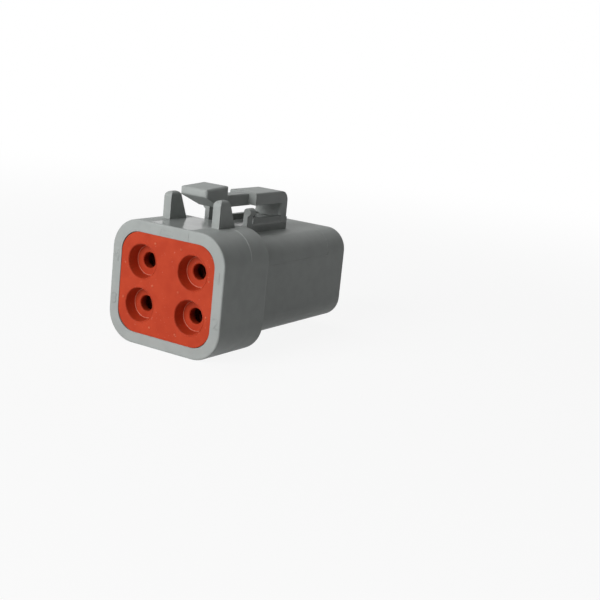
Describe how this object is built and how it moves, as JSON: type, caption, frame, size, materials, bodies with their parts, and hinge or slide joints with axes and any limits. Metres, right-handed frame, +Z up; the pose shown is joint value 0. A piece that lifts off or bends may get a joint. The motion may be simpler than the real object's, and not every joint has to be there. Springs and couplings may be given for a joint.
{
  "type": "sealed automotive connector",
  "caption": "Sealed rectangular power connector, socket half, with stepped rubber wire seal, thumb latch, locking wedge and seated socket contacts.",
  "frame": {"origin": "middle of the length and width, level with the bottom of the collar", "axes": "+Y towards the mating half, +Z up towards the latch, +X to the right seen from the wires"},
  "size_m": [0.0244, 0.0428, 0.0287],
  "materials": {
    "housing_plastic": "moulded, fine matte texture",
    "wire_seal_rubber": "moulded silicone, satin",
    "interface_seal_rubber": "moulded silicone, satin",
    "wedge_plastic": "moulded, smooth",
    "contact_alloy": "nickel-plated copper alloy",
    "sleeve_steel": "drawn stainless sheet"
  },
  "bodies": {
    "shell": {"housing": "housing_plastic", "wire_seal": "wire_seal_rubber", "interface_seal": "interface_seal_rubber", "contact_body_1": "contact_alloy", "contact_body_2": "contact_alloy", "contact_body_3": "contact_alloy", "contact_body_4": "contact_alloy", "contact_sleeve_1": "sleeve_steel", "contact_sleeve_2": "sleeve_steel", "contact_sleeve_3": "sleeve_steel", "contact_sleeve_4": "sleeve_steel"},
    "latch": {"latch_lever": "housing_plastic"},
    "wedge": {"wedge_lock": "wedge_plastic"}
  },
  "joints": [
    {"name": "latch_press", "type": "hinge", "parent": "shell", "child": "latch", "pos_m": [0, 0.00885, 0.02198], "axis": [1, 0, 0], "range_deg": [0, 7.5], "stiffness_Nm_per_rad": 2.2},
    {"name": "wedge_pull", "type": "slide", "parent": "shell", "child": "wedge", "axis": [0, 1, 0], "range_m": [0, 0.01]}
  ]
}
